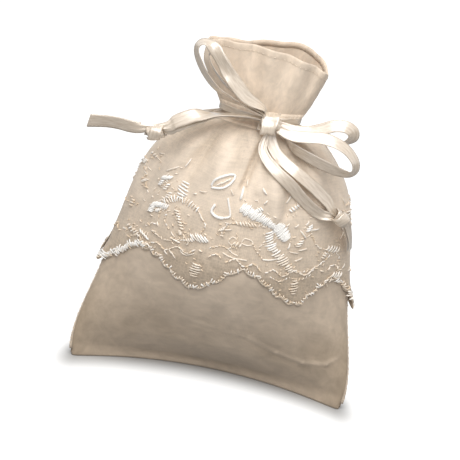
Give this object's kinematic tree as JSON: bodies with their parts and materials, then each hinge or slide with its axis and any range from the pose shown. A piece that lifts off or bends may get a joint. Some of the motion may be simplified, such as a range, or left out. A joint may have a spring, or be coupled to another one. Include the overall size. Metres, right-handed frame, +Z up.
{
  "type": "drawstring gift pouch",
  "caption": "Cloth pouch with a scalloped lace overlay, gathered at the neck by satin ribbons tied in a bow below a frilled open mouth; holds a small gift and stands on its bottom seam.",
  "frame": {"origin": "middle of the pouch's footprint, on the surface it stands on", "axes": "+Z up from the bottom seam to the mouth, +X along the bottom seam to the viewer's right, +Y from the front with the bow to the back"},
  "size_m": [0.0802, 0.0425, 0.0954],
  "materials": {
    "organza": "sheer, soft sheen",
    "header_cloth": "doubled sheer, soft sheen",
    "lace": "embroidered lace",
    "satin_ribbon": "satin"
  },
  "bodies": {
    "pouch": {"front_panel": "organza", "back_panel": "organza", "left_side_seam": "organza", "right_side_seam": "organza", "bottom_seam": "organza", "front_header": "header_cloth", "back_header": "header_cloth", "front_hem": "header_cloth", "back_hem": "header_cloth", "front_casing": "header_cloth", "back_casing": "header_cloth", "front_lace": "lace", "back_lace": "lace", "front_lace_edging": "lace", "back_lace_edging": "lace", "left_drawstring": "satin_ribbon", "right_drawstring": "satin_ribbon", "left_lead": "satin_ribbon", "right_lead": "satin_ribbon", "bow_knot": "satin_ribbon"},
    "left_pull": {"left_pull_front": "satin_ribbon", "left_pull_back": "satin_ribbon", "left_pull_knot": "satin_ribbon", "left_tail_front": "satin_ribbon", "left_tail_back": "satin_ribbon"},
    "left_loop": {"left_loop_outer": "satin_ribbon", "left_loop_inner": "satin_ribbon"},
    "right_loops": {"right_loop_upper": "satin_ribbon", "right_loop_lower": "satin_ribbon"},
    "right_pull": {"right_pull_upper": "satin_ribbon", "right_pull_lower": "satin_ribbon", "right_pull_knot": "satin_ribbon", "right_tail_front": "satin_ribbon", "right_tail_back": "satin_ribbon"}
  },
  "joints": [
    {"name": "left_pull_swing", "type": "hinge", "parent": "pouch", "child": "left_pull", "pos_m": [0.0033, -0.01053, 0.07605], "axis": [0, 0, 1], "range_deg": [0, 60]},
    {"name": "left_loop_swing", "type": "hinge", "parent": "pouch", "child": "left_loop", "pos_m": [0.0033, -0.01053, 0.07605], "axis": [0, 0, 1], "range_deg": [0, 60]},
    {"name": "right_loop_swing", "type": "hinge", "parent": "pouch", "child": "right_loops", "pos_m": [0.0033, -0.01053, 0.07605], "axis": [0, 0, -1], "range_deg": [0, 50]},
    {"name": "right_pull_lift", "type": "hinge", "parent": "pouch", "child": "right_pull", "pos_m": [0.0033, -0.01053, 0.07605], "axis": [-1, 0, 0], "range_deg": [0, 20]}
  ]
}
